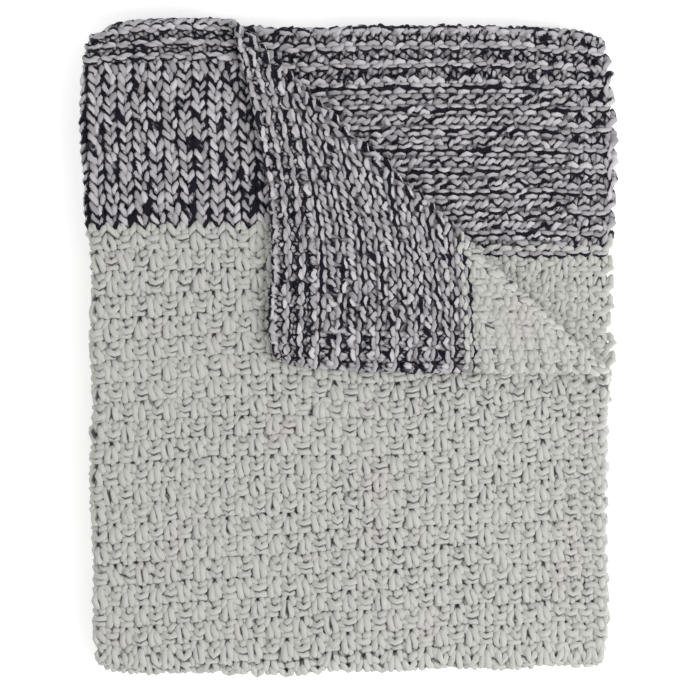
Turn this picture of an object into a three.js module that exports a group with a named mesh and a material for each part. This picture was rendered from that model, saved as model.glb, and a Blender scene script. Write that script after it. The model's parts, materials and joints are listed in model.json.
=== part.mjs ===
// A chunky hand-knitted wool blanket, folded in quarters with one top corner turned down.
// Units are millimetres and +Z is up. The origin lies under the middle of the folded blanket, on the surface
// that it rests on. +X runs to the side edges, away from the first fold, and +Y to the cast-off and cast-on edges.
//
// The blanket is one piece of cloth, so it is one closed solid. It is laid out flat as a sheet with the
// coordinates (across, up, off): across and up lie in the cloth and off is the height above its middle surface,
// towards the right side. Each fold then bends that flat sheet in turn:
//   1. the top right corner is turned down over a slanting fold, so that its wrong side shows;
//   2. the left half goes underneath at across = 0;
//   3. the bottom half goes underneath at up = 0.
// The last step settles the pile: its edges waver, its corners round off and its top lies a little uneven.
import * as THREE from "three";

// The cloth, laid flat
const HALF_WIDTH = 400; // from the first fold to a side edge
const HALF_LENGTH = 500; // from the second fold to the cast-off or cast-on edge
const THICKNESS = 8.4; // bulky yarn, two strands deep where the loops cross
const EDGE_BULGE = 1.5; // how far the rim of the cloth rounds out

// The pile of layers
const GAP = 1.2; // air between two layers
const PITCH = THICKNESS + GAP;
const SIDE_RADIUS = PITCH / 2; // from the axis of the first fold to the middle of the cloth
const END_RADIUS = PITCH; // from the axis of the second fold to the middle of the doubled cloth
const PILE_HEIGHT = 4 * THICKNESS + 3 * GAP;

// The turned-down corner. Its fold runs straight from the top edge to the side edge.
const CORNER_FOLD = { topEdgeAt: 114, sideEdgeAt: 227.5 };
const FLAP_GAP = 2; // air under the flap's free edges
const FLAP_LOFT = 2; // how much higher the fold stands than those edges
const FLAP_SETTLE = 34; // the distance from the fold over which that height is lost
const FLAP_DRIFT = { across: 1.8, up: 15.7 }; // how far the knit's give carries the flap's tip
const FLAP_BOW = 18; // how far the flap's middle bows sideways, back towards the slanting fold
const FLAP_TIP_ROUND = 7; // how far the tip is drawn in

// Small irregularities of the settled pile, each in millimetres
const SHORTER = [
  { layer: "top", side: 1, end: 1, across: 0, up: 0 },
  { layer: "second", side: -1, end: 1, across: 0, up: 4.5 },
  { layer: "third", side: -1, end: -1, across: 5, up: 8 },
  { layer: "bottom", side: 1, end: -1, across: 4, up: 6 },
];
const LEFT_EDGE = [
  { at: 0, out: 0 },
  { at: 0.12, out: -1 },
  { at: 0.27, out: 1.5 },
  { at: 0.39, out: -0.5 },
  { at: 0.48, out: 1.5 },
  { at: 0.6, out: 0.5 },
  { at: 0.72, out: 6 },
  { at: 0.86, out: 8.5 },
  { at: 1, out: 6 },
];
const RIGHT_EDGE = [
  { at: 0, out: 1 },
  { at: 0.22, out: -2 },
  { at: 0.38, out: 0 },
  { at: 0.455, out: 3.5 },
  { at: 0.51, out: 0 },
  { at: 0.56, out: 1.5 },
  { at: 0.62, out: 0.5 },
  { at: 0.8, out: 3.5 },
  { at: 1, out: -1 },
];
const BOTTOM_EDGE = [
  { at: 0, out: 2 },
  { at: 0.1, out: 3 },
  { at: 0.17, out: 1.5 },
  { at: 0.28, out: 2 },
  { at: 0.39, out: 3 },
  { at: 0.45, out: 0 },
  { at: 0.58, out: 1 },
  { at: 0.7, out: -1.5 },
  { at: 0.8, out: 0 },
  { at: 0.87, out: -3 },
  { at: 1, out: -2 },
];
const TOP_EDGE = [
  { at: 0, out: 1 },
  { at: 0.2, out: 2 },
  { at: 0.4, out: 0 },
  { at: 0.6, out: 1.5 },
  { at: 1, out: 0 },
];
const CORNERS = [
  { corner: "top left", right: 0, top: 1, drawnIn: 10, spread: 40 },
  { corner: "top right", right: 1, top: 1, drawnIn: 10, spread: 26 },
  { corner: "bottom right", right: 1, top: 0, drawnIn: 3, spread: 40 },
  { corner: "bottom left", right: 0, top: 0, drawnIn: 3, spread: 40 },
];
const EDGE_REACH = 3; // the power with which an edge's waver dies away inwards
const WAVES = [
  { height: 0.7, acrossLength: 260, upLength: 410, phase: 0.4 },
  { height: 0.6, acrossLength: -170, upLength: 300, phase: 2.1 },
  { height: 0.4, acrossLength: 120, upLength: -190, phase: 4.4 },
];

// How finely the sheet is divided
const SIDE_FOLD_STEPS = 6;
const END_FOLD_STEPS = 8;
const CORNER_FOLD_STEPS = 6;
const CORNER_CELLS = 15;
const UNDER_SIDE_CELLS = 14;
const UNDER_END_CELLS = 13;
const TOP_SIDE_CELLS = 6;
const TOP_END_CELLS = 8;
const END_FINENESS = 0.5; // 0 for equal cells, nearly 1 for very small ones at both ends

const YARN = { name: "undyed and flecked wool", color: 0xcbc9c2, roughness: 0.95, metalness: 0 };

// Half the length of cloth that goes round each fold
const sideArc = (Math.PI / 2) * SIDE_RADIUS;
const endArc = (Math.PI / 2) * END_RADIUS;
const foldedWidth = HALF_WIDTH - sideArc;
const foldedLength = HALF_LENGTH - endArc;

// The slanting fold: its direction, the normal towards the corner, and its bend
const flapWidth = HALF_WIDTH - CORNER_FOLD.topEdgeAt;
const flapLength = HALF_LENGTH - CORNER_FOLD.sideEdgeAt;
const foldLength = Math.hypot(flapWidth, flapLength);
const toCorner = new THREE.Vector2(flapLength / foldLength, flapWidth / foldLength);
const flapRadius = (THICKNESS + FLAP_GAP + FLAP_LOFT) / 2;
const flapArc = (Math.PI / 2) * flapRadius;
const tipReach = (flapWidth * flapLength) / foldLength; // from the fold to the corner

function clamp01(value) {
  return THREE.MathUtils.clamp(value, 0, 1);
}

// The value of a wavering edge at a place from 0 to 1 along it, eased between the rows of its table.
function waver(edge, at) {
  const next = edge.findIndex((row) => row.at >= at);
  if (next <= 0) return edge[0].out;
  const a = edge[next - 1];
  const b = edge[next];
  const ease = THREE.MathUtils.smoothstep(at, a.at, b.at);
  return THREE.MathUtils.lerp(a.out, b.out, ease);
}

// Draws in the tip of the corner that is turned down, so that it isn't sharp.
function roundTip(across, up) {
  const nearTip = clamp01(across / HALF_WIDTH) ** 18 * clamp01(up / HALF_LENGTH) ** 22;
  return [across - FLAP_TIP_ROUND * nearTip, up - FLAP_TIP_ROUND * nearTip];
}

// How far a place on the flat cloth lies past the slanting fold, towards the corner.
function pastFold(across, up) {
  return (across - CORNER_FOLD.topEdgeAt) * toCorner.x + (up - HALF_LENGTH) * toCorner.y;
}

// Fold 1: turns the corner up, over and down on to the top layer.
function turnCornerDown(across, up, off) {
  const past = pastFold(across, up);
  if (past <= -flapArc) return [across, up, off];
  let reach, height;
  if (past < flapArc) {
    const turn = (past + flapArc) / flapRadius;
    reach = -flapArc + (flapRadius - off) * Math.sin(turn);
    height = flapRadius - (flapRadius - off) * Math.cos(turn);
  } else {
    const lost = FLAP_LOFT * (1 - Math.exp(-(past - flapArc) / FLAP_SETTLE));
    reach = -past;
    height = 2 * flapRadius - off - lost;
  }
  const beyond = Math.max(0, past - flapArc);
  const drift = beyond / tipReach;
  const bow = FLAP_BOW * Math.sin((Math.PI * beyond) / (tipReach - flapArc));
  return [
    across + (reach - past) * toCorner.x + FLAP_DRIFT.across * drift + bow,
    up + (reach - past) * toCorner.y + FLAP_DRIFT.up * drift,
    height,
  ];
}

// Folds 2 and 3: carries a sheet round a half circle and back underneath itself. The place runs along the sheet
// from the fold, and the height is measured from the sheet's middle. Gives the new place and height.
function foldUnder(place, height, radius, arc) {
  if (place >= arc) return [place - arc, radius + height];
  if (place <= -arc) return [-place - arc, -radius - height];
  const turn = (arc - place) / radius;
  return [-(radius + height) * Math.sin(turn), (radius + height) * Math.cos(turn)];
}

// The lower layers end a little inside the top one. The share grows from the folds to the edges.
function shorten(across, up) {
  let less = { across: 0, up: 0 };
  for (const row of SHORTER) {
    const onSide = THREE.MathUtils.smoothstep(row.side * across, -60, 60);
    const onEnd = THREE.MathUtils.smoothstep(row.end * up, -60, 60);
    less.across += row.across * onSide * onEnd;
    less.up += row.up * onSide * onEnd;
  }
  return [across * (1 - less.across / HALF_WIDTH), up * (1 - less.up / HALF_LENGTH)];
}

// Lets the pile's edges waver, rounds its corners and leaves its top a little uneven.
function settle(x, y, z) {
  const along = clamp01(x / foldedWidth);
  const up = clamp01(y / foldedLength);
  let shiftX = waver(RIGHT_EDGE, up) * along ** EDGE_REACH;
  let shiftY = waver(TOP_EDGE, along) * up ** EDGE_REACH;
  shiftX -= waver(LEFT_EDGE, up) * (1 - along) ** EDGE_REACH;
  shiftY -= waver(BOTTOM_EDGE, along) * (1 - up) ** EDGE_REACH;
  for (const { right, top, drawnIn, spread } of CORNERS) {
    const near = (right ? along : 1 - along) ** spread * (top ? up : 1 - up) ** spread;
    shiftX += (right ? -1 : 1) * drawnIn * near;
    shiftY += (top ? -1 : 1) * drawnIn * near;
  }
  let lift = 0;
  for (const wave of WAVES) {
    const angle = 2 * Math.PI * (x / wave.acrossLength + y / wave.upLength) + wave.phase;
    lift += wave.height * Math.sin(angle);
  }
  return new THREE.Vector3(x + shiftX, y + shiftY, z * (1 + lift / PILE_HEIGHT));
}

// Where a point of the flat cloth lies in the folded blanket.
function folded(across, up, off) {
  const rounded = roundTip(across, up);
  const turned = turnCornerDown(rounded[0], rounded[1], off);
  const [place, rise] = shorten(turned[0], turned[1]);
  const [x, doubled] = foldUnder(place, turned[2], SIDE_RADIUS, sideArc);
  const [y, height] = foldUnder(rise, doubled, END_RADIUS, endArc);
  return settle(x, y, height + PILE_HEIGHT / 2);
}

// The share of a stretch of cloth that its first few cells cover. Cells are smaller at both ends, where the cloth
// bends or has a corner, and the shares from the two ends add up to 1.
function shareOf(cell, cells) {
  const even = cell / cells;
  return even - (END_FINENESS * Math.sin(2 * Math.PI * even)) / (2 * Math.PI);
}

// Places from one value to another, without the last one.
function places(from, to, cells, share = shareOf) {
  return Array.from({ length: cells }, (_, i) => THREE.MathUtils.lerp(from, to, share(i, cells)));
}

// Places round a fold, in equal steps.
function placesRound(arc, cells) {
  return places(-arc, arc, cells, (i, count) => i / count);
}

// The flat cloth as triangles in (across, up), anticlockwise, with all lines of the grid along the folds.
function layOutFlat() {
  const corners = [];
  const quad = (a, b, c, d) => corners.push(a, b, c, a, c, d);
  // Where the two rims of the slanting fold meet the top and the side edge
  const rim = (past) => ({
    top: CORNER_FOLD.topEdgeAt + past / toCorner.x,
    side: CORNER_FOLD.sideEdgeAt + past / toCorner.y,
  });
  const before = rim(-flapArc);
  const after = rim(flapArc);
  const acrossLines = [
    ...places(-HALF_WIDTH, -sideArc, UNDER_SIDE_CELLS),
    ...placesRound(sideArc, SIDE_FOLD_STEPS),
    ...places(sideArc, before.top, TOP_SIDE_CELLS),
    ...places(before.top, HALF_WIDTH, CORNER_CELLS),
    HALF_WIDTH,
  ];
  const upLines = [
    ...places(-HALF_LENGTH, -endArc, UNDER_END_CELLS),
    ...placesRound(endArc, END_FOLD_STEPS),
    ...places(endArc, before.side, TOP_END_CELLS),
    ...places(before.side, HALF_LENGTH, CORNER_CELLS),
    HALF_LENGTH,
  ];
  const cornerColumn = acrossLines.length - 1 - CORNER_CELLS;
  const cornerRow = upLines.length - 1 - CORNER_CELLS;
  // All of the cloth up to the slanting fold: whole cells, and half cells along the fold itself
  for (let i = 0; i + 1 < acrossLines.length; i++) {
    for (let j = 0; j + 1 < upLines.length; j++) {
      const cells = i - cornerColumn + (j - cornerRow);
      const inCorner = i >= cornerColumn && j >= cornerRow;
      if (inCorner && cells >= CORNER_CELLS) continue;
      const [left, right] = [acrossLines[i], acrossLines[i + 1]];
      const [low, high] = [upLines[j], upLines[j + 1]];
      if (inCorner && cells === CORNER_CELLS - 1)
        corners.push([left, low], [right, low], [left, high]);
      else if (inCorner)
        corners.push([left, low], [right, low], [left, high], [right, low], [right, high], [left, high]);
      else quad([left, low], [right, low], [right, high], [left, high]);
    }
  }
  // The strip of cloth that goes round the slanting fold
  const onLine = (line, cell) => {
    const ends = rim(-flapArc + (2 * flapArc * line) / CORNER_FOLD_STEPS);
    const share = shareOf(cell, CORNER_CELLS);
    return [
      THREE.MathUtils.lerp(ends.top, HALF_WIDTH, share),
      THREE.MathUtils.lerp(HALF_LENGTH, ends.side, share),
    ];
  };
  for (let line = 0; line < CORNER_FOLD_STEPS; line++)
    for (let cell = 0; cell < CORNER_CELLS; cell++)
      quad(onLine(line, cell), onLine(line, cell + 1), onLine(line + 1, cell + 1), onLine(line + 1, cell));
  // The corner beyond the fold, in cells counted inwards from its tip
  const inwards = (i, j) => [
    THREE.MathUtils.lerp(HALF_WIDTH, after.top, shareOf(i, CORNER_CELLS)),
    THREE.MathUtils.lerp(HALF_LENGTH, after.side, shareOf(j, CORNER_CELLS)),
  ];
  for (let i = 0; i < CORNER_CELLS; i++)
    for (let j = 0; i + j < CORNER_CELLS; j++) {
      corners.push(inwards(i, j), inwards(i + 1, j), inwards(i, j + 1));
      if (i + j + 1 < CORNER_CELLS)
        corners.push(inwards(i + 1, j), inwards(i + 1, j + 1), inwards(i, j + 1));
    }
  return corners;
}

// The way out of the cloth at a place on its rim. In the slanting fold it runs along the fold.
function outOfRim(across, up) {
  const atSide = Math.abs(across) > HALF_WIDTH - 0.01;
  const atEnd = Math.abs(up) > HALF_LENGTH - 0.01;
  const out = new THREE.Vector2(atSide ? Math.sign(across) : 0, atEnd ? Math.sign(up) : 0);
  if (Math.abs(pastFold(across, up)) < flapArc - 0.01) {
    if (atSide) out.set(1, -toCorner.x / toCorner.y);
    else out.set(-toCorner.y / toCorner.x, 1);
  }
  return out;
}

// Gives the flat cloth its thickness and a rounded rim, and folds it: one closed surface that faces outwards.
function foldedSolid() {
  const points = [];
  const found = new Map();
  const indexOf = ([across, up]) => {
    const key = across.toFixed(3) + " " + up.toFixed(3);
    if (!found.has(key)) {
      found.set(key, points.length);
      points.push([across, up]);
    }
    return found.get(key);
  };
  const sheet = layOutFlat().map(indexOf);
  const count = points.length;
  const positions = [];
  for (const side of [1, -1])
    for (const [across, up] of points)
      positions.push(...folded(across, up, (side * THICKNESS) / 2));

  // An edge that only one triangle has belongs to the rim of the cloth.
  const rim = new Map();
  for (let i = 0; i < sheet.length; i += 3)
    for (const [a, b] of [[0, 1], [1, 2], [2, 0]])
      rim.set(sheet[i + a] + " " + sheet[i + b], [sheet[i + a], sheet[i + b]]);
  const rimEdges = [...rim.values()].filter(([a, b]) => !rim.has(b + " " + a));
  const middle = new Map();
  const middleOf = (index) => {
    if (!middle.has(index)) {
      const [across, up] = points[index];
      const out = outOfRim(across, up);
      middle.set(index, positions.length / 3);
      positions.push(...folded(across + EDGE_BULGE * out.x, up + EDGE_BULGE * out.y, 0));
    }
    return middle.get(index);
  };
  const faces = [];
  for (let i = 0; i < sheet.length; i += 3) {
    const [a, b, c] = sheet.slice(i, i + 3);
    faces.push(a, b, c, a + count, c + count, b + count);
  }
  for (const [a, b] of rimEdges) {
    const [ma, mb] = [middleOf(a), middleOf(b)];
    faces.push(a, ma, mb, a, mb, b);
    faces.push(ma, a + count, b + count, ma, b + count, mb);
  }
  const geometry = new THREE.BufferGeometry();
  geometry.setAttribute("position", new THREE.Float32BufferAttribute(positions, 3));
  geometry.setIndex(faces);
  return geometry;
}

function makeBlanket() {
  const geometry = foldedSolid();
  geometry.computeBoundingBox();
  const middle = geometry.boundingBox.getCenter(new THREE.Vector3());
  geometry.translate(-middle.x, -middle.y, -geometry.boundingBox.min.z);
  geometry.computeVertexNormals();
  const wool = new THREE.MeshStandardMaterial({ ...YARN, flatShading: true });
  const blanket = new THREE.Mesh(geometry, wool);
  blanket.name = "blanket";
  return blanket;
}

const foldedBlanket = new THREE.Group();
foldedBlanket.add(makeBlanket());

export default foldedBlanket;
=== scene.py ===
"""A chunky hand-knitted wool blanket, folded in quarters with one top corner turned down.

The blanket is knitted here stitch by stitch: every row is one strand of yarn that loops through the row
before. The loops are worked out on the flat cloth, pushed apart until they lie side by side, and then folded
with the folds of the solid that this model stands for. A thin dark backing lies between the two faces of each
layer, where the inside of the yarn would be; its darkness is painted shade, seen through the gaps between the
loops.
"""

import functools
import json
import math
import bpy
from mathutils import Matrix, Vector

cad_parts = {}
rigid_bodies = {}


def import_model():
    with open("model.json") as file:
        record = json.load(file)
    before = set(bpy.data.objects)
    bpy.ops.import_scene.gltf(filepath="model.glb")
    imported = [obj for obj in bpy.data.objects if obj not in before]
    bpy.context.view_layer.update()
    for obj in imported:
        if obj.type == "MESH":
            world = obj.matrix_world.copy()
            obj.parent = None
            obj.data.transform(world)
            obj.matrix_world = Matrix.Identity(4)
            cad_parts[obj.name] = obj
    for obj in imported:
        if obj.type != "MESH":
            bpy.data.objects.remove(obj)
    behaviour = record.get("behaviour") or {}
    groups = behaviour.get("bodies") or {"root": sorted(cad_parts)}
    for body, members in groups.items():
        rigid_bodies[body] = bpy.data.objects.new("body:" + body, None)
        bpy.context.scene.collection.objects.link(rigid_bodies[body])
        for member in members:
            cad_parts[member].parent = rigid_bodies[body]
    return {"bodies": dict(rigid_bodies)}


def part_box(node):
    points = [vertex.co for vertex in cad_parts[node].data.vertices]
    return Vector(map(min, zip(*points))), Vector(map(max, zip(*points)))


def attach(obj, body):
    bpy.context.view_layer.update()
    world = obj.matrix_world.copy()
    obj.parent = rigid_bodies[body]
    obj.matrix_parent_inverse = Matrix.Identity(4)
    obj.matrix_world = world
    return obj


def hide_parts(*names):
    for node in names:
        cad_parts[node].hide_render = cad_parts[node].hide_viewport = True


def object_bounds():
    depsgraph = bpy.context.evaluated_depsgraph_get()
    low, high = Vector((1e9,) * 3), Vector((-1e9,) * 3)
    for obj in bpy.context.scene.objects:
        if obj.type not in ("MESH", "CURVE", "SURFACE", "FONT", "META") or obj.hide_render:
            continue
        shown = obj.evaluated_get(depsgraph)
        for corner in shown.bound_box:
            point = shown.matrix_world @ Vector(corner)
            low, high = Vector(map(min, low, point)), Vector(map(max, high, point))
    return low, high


bl_info = {
    "name": "Folded knitted blanket",
    "version": (1, 0, 0),
    "blender": (4, 5, 0),
    "location": "View3D > Sidebar > Blanket",
    "description": "Knits and folds a wool blanket around its frame, and lights it",
    "category": "Object",
}

import bpy
import numpy as np
from mathutils import Vector

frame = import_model()
CAD_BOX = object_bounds()
BODY = next(iter(frame["bodies"]))
NODE = "blanket"

# The cloth and its knitting are worked out in millimetres, and each finished piece is made in metres.
MM = 0.001

# The cloth, laid flat: (across, up) lie in it, from the two folds, and off is the height above its middle
HALF_WIDTH = 400.0
HALF_LENGTH = 500.0
THICKNESS = 8.4

# The pile of four layers
GAP = 1.2
PITCH = THICKNESS + GAP
SIDE_RADIUS = PITCH / 2
END_RADIUS = PITCH
PILE_HEIGHT = 4 * THICKNESS + 3 * GAP
SIDE_ARC = math.pi / 2 * SIDE_RADIUS
END_ARC = math.pi / 2 * END_RADIUS
FOLDED_WIDTH = HALF_WIDTH - SIDE_ARC
FOLDED_LENGTH = HALF_LENGTH - END_ARC

# The turned-down corner: where its fold meets the edges, how open it is, how soon the corner settles, how
# far its tip drifts (across, up) and its middle bows, and how far and widely its tip is rounded
FOLD_AT_TOP_EDGE = 114.0
FOLD_AT_SIDE_EDGE = 227.5
FLAP_GAP = 2.0
FLAP_LOFT = 2.0
FLAP_SETTLE = 34.0
FLAP_DRIFT = (1.8, 15.7)
FLAP_BOW = 18.0
FLAP_TIP_ROUND = 11.0
FLAP_TIP_SPREAD = (14, 17)
FLAP_WIDTH = HALF_WIDTH - FOLD_AT_TOP_EDGE
FLAP_LENGTH = HALF_LENGTH - FOLD_AT_SIDE_EDGE
FOLD_LENGTH = math.hypot(FLAP_WIDTH, FLAP_LENGTH)
TO_CORNER = (FLAP_LENGTH / FOLD_LENGTH, FLAP_WIDTH / FOLD_LENGTH)
FLAP_RADIUS = (THICKNESS + FLAP_GAP + FLAP_LOFT) / 2
FLAP_ARC = math.pi / 2 * FLAP_RADIUS
TIP_REACH = FLAP_WIDTH * FLAP_LENGTH / FOLD_LENGTH

# The settled pile: how much shorter each lower layer is, (side, end, across, up), and between which places
# beside a fold that comes in. How its edges waver, (at, by), and by which power that fades inwards
SHORTER = ((-1, 1, 0, 4.5), (-1, -1, 5, 8), (1, -1, 4, 6))
SHORTER_FROM = (-60, 60)
LEFT_EDGE = (
    (0, 0), (0.12, -1), (0.27, 1.5), (0.39, -0.5), (0.48, 1.5), (0.6, 0.5), (0.72, 6), (0.86, 8.5), (1, 6),
)
RIGHT_EDGE = (
    (0, 1), (0.22, -2), (0.38, 0), (0.455, 3.5), (0.51, 0), (0.56, 1.5), (0.62, 0.5), (0.8, 3.5), (1, -1),
)
BOTTOM_EDGE = (
    (0, 2), (0.1, 3), (0.17, 1.5), (0.28, 2), (0.39, 3), (0.45, 0), (0.58, 1), (0.7, -1.5), (0.8, 0),
    (0.87, -3), (1, -2),
)
TOP_EDGE = ((0, 1), (0.2, 2), (0.4, 0), (0.6, 1.5), (1, 0))
EDGE_REACH = 3
# Corners of the pile: (right, top, drawn in, spread)
CORNERS = ((0, 1, 10, 40), (1, 1, 10, 26), (1, 0, 3, 40), (0, 0, 3, 40))
# Waves of the pile's top: (height, across length, up length, phase)
WAVES = ((0.7, 260, 410, 0.4), (0.6, -170, 300, 2.1), (0.4, 120, -190, 4.4))
# How many places across and up are folded to find the pile's extent
SEAT_PLACES = (161, 201)

# The knitting, from the cast-on edge: (rows, depth, stitch, yarn)
COLUMNS = 70
BORDER_STITCHES = 3
BANDS = (
    (6, 30.8, "garter", "marl"),
    (16, 124.5, "stocking", "marl"),
    (1, 7.8, "stocking", "cream"),
    (103, 806.1, "double moss", "cream"),
    (6, 30.8, "garter", "cream"),
)
MARL_DEPTH = sum(band[1] for band in BANDS if band[3] == "marl")
MOSS_START = sum(band[0] for band in BANDS[:3])
# How far in from the cloth's edge the outer stitches end, how many points a stitch has, and where in its
# row a loop's middle lies
SELVEDGE = 1.5
STITCH_WIDTH = 2 * (HALF_WIDTH - SELVEDGE) / COLUMNS
STITCH_POINTS = 14
LOOP_MIDDLE = 0.62
ROW_BAND = np.concatenate([np.full(band[0], number) for number, band in enumerate(BANDS)])
ROW_HEIGHT = np.concatenate([np.full(band[0], band[1] / band[0]) for band in BANDS])
ROWS = len(ROW_BAND)
ROW_PLACE = np.concatenate([[0.0], np.cumsum(ROW_HEIGHT)[:-1]]) + LOOP_MIDDLE * ROW_HEIGHT
ROW_STITCH = np.array([BANDS[number][2] for number in ROW_BAND])
MARL_ROWS = np.array([BANDS[number][3] == "marl" for number in ROW_BAND])
MOSS_ROWS = ROW_STITCH == "double moss"
FLAT_ROWS = (ROW_STITCH == "stocking") & MARL_ROWS
AT_BORDER = np.minimum(np.arange(COLUMNS), np.arange(COLUMNS)[::-1]) < BORDER_STITCHES
# How far round its loop each point of a stitch lies, from one foot over the head to the next
LOOP_TURN = 2 * math.pi * np.arange(STITCH_POINTS) / STITCH_POINTS

# How the even knitting lies once it is folded. The second layer begins at the side fold. Its border and band
# are pulled out longer, the slack is taken up below them, its stitches lie closer towards the outer edge,
# and below the band they are tucked in there
SECOND_FROM = (0, 60)
SLACK_BORDER = 12.0
SLACK_BAND = 6.0
SLACK_FROM = (40.0, 110.0)
SLACK_RUN = (175.0, 460.0)
CLOSER = 0.115
CLOSER_RUN = (230.0, 370.0)
TUCKED_IN = 3.2
TUCKED_FROM = (225.0, 262.0)
TUCKED_REACH = (0.0, 40.0)
# The top layer's stitches lie closer at its edges. Below the band its rows climb to the right, and in the
# turned corner they swing round a level, so that they hang straight down there
NARROWED = 3.5
CLIMB = 0.055
CLIMB_LEVEL = 170.0
CLIMB_END = 300.0
CLIMB_FROM = (163.0, 240.0)
CLIMB_RUN = (520.0, 800.0)
SWING = 0.18
SWING_LEVEL = 325.0
SWING_REACH = (140.0, 240.0)
SWING_FROM = (20.0, 150.0)
SWING_RUN = (200.0, 420.0)
# How far from the cloth's edge the yarn lies open to the light
RIM = (2.0, 8.0)

# How a hand knitter's stitches stray, sideways and along: soft waves of (height, (rows, columns)), and how
# far each stitch strays by itself for its unevenness, as do its lean and the depth of its creases
SWAY_WAVES = ((0.6, (5, 5)),)
SWAY_VARIES = 6
DRIFT_WAVES = ((0.5, (2, 12)), (0.4, (12, 3)))
DRIFT_VARIES = 4
LEAN_VARIES = 4
CREASE_VARIES = 3
# How much taller, and then shorter, the rows are by turns
ROW_TENSION = 0.05

# A loop: how far its legs bulge, how tall it is, also in flat stocking stitch, in the first row's feet and
# in the last row's heads, how steeply the yarn passes from face to face, and where in a leg
BULGE = 0.25
LOOP_TALL = 0.9
FLAT_TALL = 1.1
FIRST_FEET = 0.5
LAST_HEADS = 0.4
STEEP = 2
CROSS_OVER = (0.3, 0.7)
# Outside moss stitch: how much rounder a loop's ends are, how much longer its legs stay in front, how far a
# raised head is drawn out and comes forward, and how plump the yarn is between two crossings
ROUNDED = 1.1
LEG_LONG = 0.3
GARTER_DRAW = 1.3
GARTER_RISE = 0.3
PLUMP = 0.1
# In moss stitch, a knit head under a purl stitch lies like a smile: how far it bends down in the middle,
# lifts at the sides, comes forward and widens, drops and rises as it is arched, and how deep its legs hide
HEAD_BEND = 3.2
HEAD_LIFT = 1.4
HEAD_RISE = 0.4
HEAD_WIDEN = 0.1
SMILE_DROP = 1.9
SMILE_RISE = 0.8
HIDDEN_LEG = 1.2
# A purl head under a purl stitch lies like a bar: how far it bends, lifts, narrows, arches up and drops back
BAR_BEND = 2.0
BAR_LIFT = 1.0
BAR_SHORTEN = 0.1
BAR_ARCH = 2.2
BAR_DROP = 1.0
# The legs of a knit stitch that shows whole: how straight, far up, soon in front, high and plump they are
HIP = 0.6
LEG_REACH = 2.4
LEG_SOON = 0.5
LEG_RISE = 0.15
LEG_PLUMP = 0.08
# The feet of a purl stitch, after a knit one and after a purl one: how far they slip up and how much flatter
# they lie, and how much flatter the whole stitch lies
FOOT_TUCK = (1.0, 2.4)
FOOT_SINK = (0.5, 0.7)
BUMP_SINK = 0.05

# How deep the crease is, which sets how much painted shade it gets, and in the flecked yarn how much of the
# dark strand shows: under a loop's head in moss stitch, at its other ends there, at all ends elsewhere, and
# beside its legs. How that one points down and across outside moss stitch, and in flat stocking stitch.
# How far the creases at the ends spread, and in flat stocking stitch
HEAD_CREASE = 1.0
FLAT_CREASE = 0.12
BUMP_CREASE = 1.0
LEG_CREASE = 0.85
LEG_DOWN = 0.4
LEG_ACROSS = 0.5
FLAT_LEG_DOWN = 0.34
FLAT_LEG_ACROSS = 0.46
END_SPREAD = 0.7
FLAT_END_SPREAD = 1.5
# How light the yarn stays where it dips, in moss stitch and along a leg of flat stocking stitch, how widely,
# and how much less the dark strand shows beside a leg than beside a head
MOSS_LIGHT = 0.75
FLAT_LIGHT = 0.95
FLAT_LIGHT_SPREAD = 0.3
LEG_PAIR = 0.7

# How loops settle: how close two crossing strands lie, as a share of the yarn's thickness, and which loops
# can touch, (columns on, rows on), looked for in a few columns and up to so many times as far off. How thick
# the yarn is to start with, by which share of the steps it is full, how hard points are pushed apart, how
# fast bends ease, how often and how far lengths are made even, how fast loops go home, how much of their
# height stays, how much their lengths differ, and how much the yarn thins and varies
SQUEEZED = 0.68
NEIGHBOURS = ((0, 0), (1, 0), (0, 1), (1, 1), (-1, 1), (0, 2), (1, 2), (-1, 2))
SAMPLE_COLUMN = 30
SAMPLE_COLUMNS = 4
TOUCH_REACH = 1.6
THIN_START = 0.6
FULL_BY = 0.6
PUSH = 1.2
EASE_BENDS = 0.12
EVEN_TIMES = 3
EVEN_LENGTHS = 0.4
GO_HOME = 0.03
STAY_HIGH = 0.996
LENGTHS_VARY = 0.02
PRESSED_THIN = 0.3
YARN_VARIES = 0.04
SMALLEST = 1e-6

# The twisted cast-on edge: how far it lies in, the twist's radius and lay, its yarn's thickness as a share of
# the others', and the rows that its two strands count as
EDGE_DOWN = 2.0
EDGE_TWIST = 1.6
EDGE_LAY = 17.0
EDGE_YARN = 0.85
EDGE_ROWS = (ROWS, ROWS + 1)

# The turn at a row's end: how many points it adds, how far in its middle lies, and how far on the way there
# its first point is, (across, down, off)
TURN_POINTS = 2
TURN_IN = 0.4
TURN_SHARE = np.array([0.9, 0.45, 0.6])

# Each piece of yarn: (name, yarn, fine), where the fine ones are near enough to need fine loops
PIECES = (
    ("marl_band", "marl", True),
    ("marl_corner", "marl", True),
    ("marl_second_layer", "marl", True),
    ("cream_corner", "cream", True),
    ("cream_top_upper", "cream", True),
    ("cream_top_middle", "cream", True),
    ("cream_top_lower", "cream", True),
    ("cream_second_layer", "cream", True),
    ("marl_inner_edges", "marl", False),
    ("cream_inner_edges", "cream", False),
    ("cream_underside_left", "cream", False),
    ("cream_underside_right", "cream", False),
)
FINE_LOOP, COARSE_LOOP = 14, 10
FINE_SIDES, COARSE_SIDES = 7, 5
# How far under the turned corner the top layer goes on, and by how many points its edges are followed. How
# far beyond the slanting fold the second layer and the corner's own piece begin, and how far up from the end
# fold the cream top is divided
COVER_MARGIN = 26.0
COVER_POINTS = 50
SECOND_BEYOND = -24
CORNER_BEYOND = -2
MIDDLE_TOP = 190
LOWER_TOP = 95
# What is made of the layers inside the pile: so many stitches, or so far, along its edges and its folds
EDGE_COLUMNS = 3
EDGE_DEPTH = 34.0
SIDE_FOLD_COLUMNS = 3
END_FOLD_DEPTH = 26.0

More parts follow.
